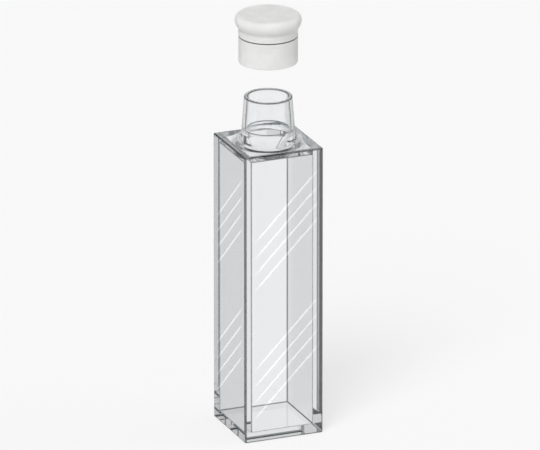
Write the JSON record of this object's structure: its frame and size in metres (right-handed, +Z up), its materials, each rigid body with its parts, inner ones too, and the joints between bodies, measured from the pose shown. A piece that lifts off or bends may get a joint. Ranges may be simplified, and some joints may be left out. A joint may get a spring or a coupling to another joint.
{
  "type": "stoppered cuvette",
  "caption": "Square clear glass cuvette with a hollow body, a conical neck and a round white push-on cap held above it, for a liquid sample in a light path.",
  "frame": {"origin": "centre of the base, on the surface that the cell stands on", "axes": "+Z up along the axis of the neck and the cap; the front and back windows face -Y and +Y, so light passes along Y; the side walls face -X and +X"},
  "size_m": [0.0126, 0.0126, 0.0648],
  "materials": {
    "quartz_glass": "clear, polished on every face, with a melted rim",
    "white_ptfe": "satin, turned"
  },
  "bodies": {
    "cell": {"glass_cell": "quartz_glass"},
    "cap": {"cap": "white_ptfe"}
  },
  "joints": [
    {"name": "cap_lift", "type": "slide", "parent": "cell", "child": "cap", "axis": [0, 0, 1], "range_m": [-0.0104, 0]}
  ]
}
